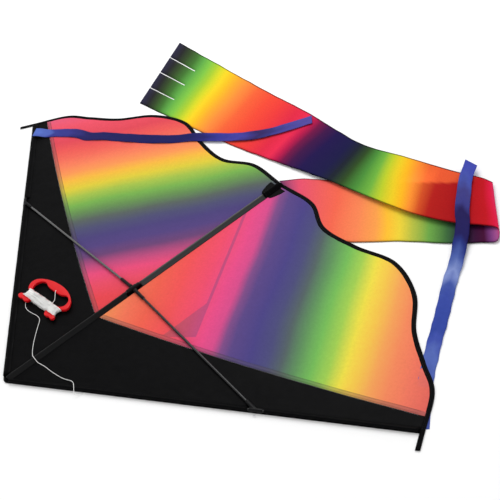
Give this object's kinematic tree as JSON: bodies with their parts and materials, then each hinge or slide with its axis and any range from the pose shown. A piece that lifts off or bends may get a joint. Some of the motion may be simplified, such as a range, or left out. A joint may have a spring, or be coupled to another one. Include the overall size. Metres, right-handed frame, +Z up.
{
  "type": "delta kite",
  "caption": "Triangular back-spar delta kite lying flat with its keel folded under, cloth tail, tip streamers and a hand winder with line.",
  "frame": {"origin": "on the floor, under the middle of the layout's footprint, in the kite's plane of symmetry", "axes": "+X across the span towards the wing that covers the folded keel, +Y from the nose to the tail, +Z up"},
  "size_m": [1.4474, 0.9842, 0.0148],
  "materials": {
    "black_cloth": "satin polyester taffeta",
    "rainbow_cloth": "satin polyester taffeta printed with a colour gradient",
    "black_tape": "matte woven tape",
    "fibreglass": "smooth pultruded rod",
    "soft_vinyl": "soft moulded vinyl",
    "blue_ribbon": "satin polyester taffeta",
    "keel_cloth": "satin polyester taffeta",
    "eyelet_metal": "nickel-plated",
    "white_line": "twisted polyester line",
    "tail_cloth": "satin polyester taffeta printed with a colour gradient",
    "red_plastic": "glossy injection moulding"
  },
  "bodies": {
    "spine": {"spine_rod": "fibreglass", "spine_sleeve_front": "black_tape", "spine_sleeve_rear": "black_tape", "spine_seam_strip": "black_tape", "tail_pocket": "black_tape", "centre_connector": "soft_vinyl", "main_tail": "tail_cloth", "line_middle": "white_line"},
    "left_wing": {"left_nose_panel": "black_cloth", "left_rainbow_panel": "rainbow_cloth", "left_edge_tape": "black_tape", "left_edge_rod": "fibreglass", "left_edge_sleeve": "black_cloth", "left_spreader_rod": "fibreglass", "left_spreader_fitting": "soft_vinyl", "left_connector_arm": "soft_vinyl", "left_tail_patch": "black_cloth", "left_streamer": "blue_ribbon", "winder_handle": "red_plastic", "wound_line": "white_line", "line_left": "white_line"},
    "right_wing": {"right_nose_panel": "black_cloth", "right_rainbow_panel": "rainbow_cloth", "right_edge_tape": "black_tape", "right_edge_rod": "fibreglass", "right_edge_sleeve": "black_cloth", "right_spreader_rod": "fibreglass", "right_spreader_fitting": "soft_vinyl", "right_connector_arm": "soft_vinyl", "right_tail_patch": "black_cloth", "right_streamer": "blue_ribbon", "line_right": "white_line"},
    "keel": {"keel_panel": "keel_cloth", "keel_edge_tape": "black_tape", "tow_patch": "black_cloth", "tow_eyelet": "eyelet_metal", "line_knot": "white_line"}
  },
  "joints": [
    {"name": "left_wing_rise", "type": "hinge", "parent": "spine", "child": "left_wing", "pos_m": [-0.009, 0, 0.0056], "axis": [0, 1, 0], "range_deg": [0, 35]},
    {"name": "right_wing_rise", "type": "hinge", "parent": "spine", "child": "right_wing", "pos_m": [0.009, 0, 0.0056], "axis": [0, -1, 0], "range_deg": [0, 35]},
    {"name": "keel_fold", "type": "hinge", "parent": "spine", "child": "keel", "pos_m": [0, 0, 0.00065], "axis": [0, 1, 0], "range_deg": [0, 178]}
  ]
}
